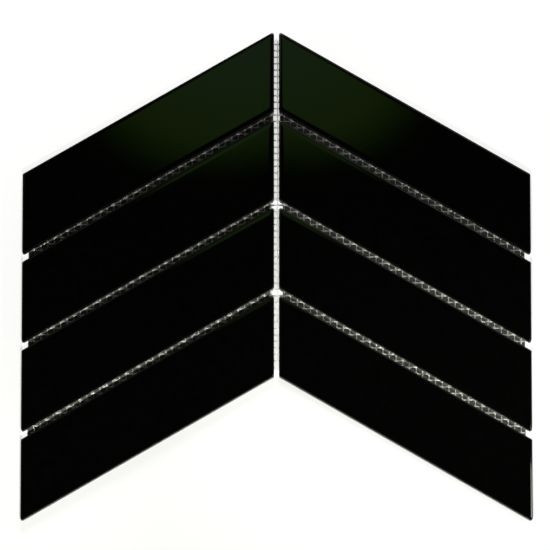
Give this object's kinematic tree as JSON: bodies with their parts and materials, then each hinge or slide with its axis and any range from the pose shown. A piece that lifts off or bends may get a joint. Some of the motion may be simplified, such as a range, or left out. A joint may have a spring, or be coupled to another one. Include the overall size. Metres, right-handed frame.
{
  "type": "chevron wall tile",
  "caption": "Sheet of glossy black glazed chevron wall tile: slanted tiles in mirrored columns on a white glass-fibre net.",
  "frame": {"origin": "middle of the sheet's outline, at the underside of the net", "axes": "+X across the sheet, +Y up the wall to the apex of the chevrons, +Z out of the glazed faces"},
  "size_m": [0.271, 0.2624, 0.0063],
  "materials": {
    "black_glaze": "gloss black glaze",
    "white_net": "resin-coated glass-fibre strands"
  },
  "bodies": {
    "root": {"tile_left_1": "black_glaze", "tile_left_2": "black_glaze", "tile_left_3": "black_glaze", "tile_left_4": "black_glaze", "tile_right_1": "black_glaze", "tile_right_2": "black_glaze", "tile_right_3": "black_glaze", "tile_right_4": "black_glaze", "net_left_outer_1": "white_net", "net_left_outer_2": "white_net", "net_left_outer_3": "white_net", "net_left_outer_4": "white_net", "net_left_inner_1": "white_net", "net_left_inner_2": "white_net", "net_left_inner_3": "white_net", "net_left_inner_4": "white_net", "net_right_inner_1": "white_net", "net_right_inner_2": "white_net", "net_right_inner_3": "white_net", "net_right_inner_4": "white_net", "net_right_outer_1": "white_net", "net_right_outer_2": "white_net", "net_right_outer_3": "white_net", "net_right_outer_4": "white_net"}
  },
  "joints": []
}
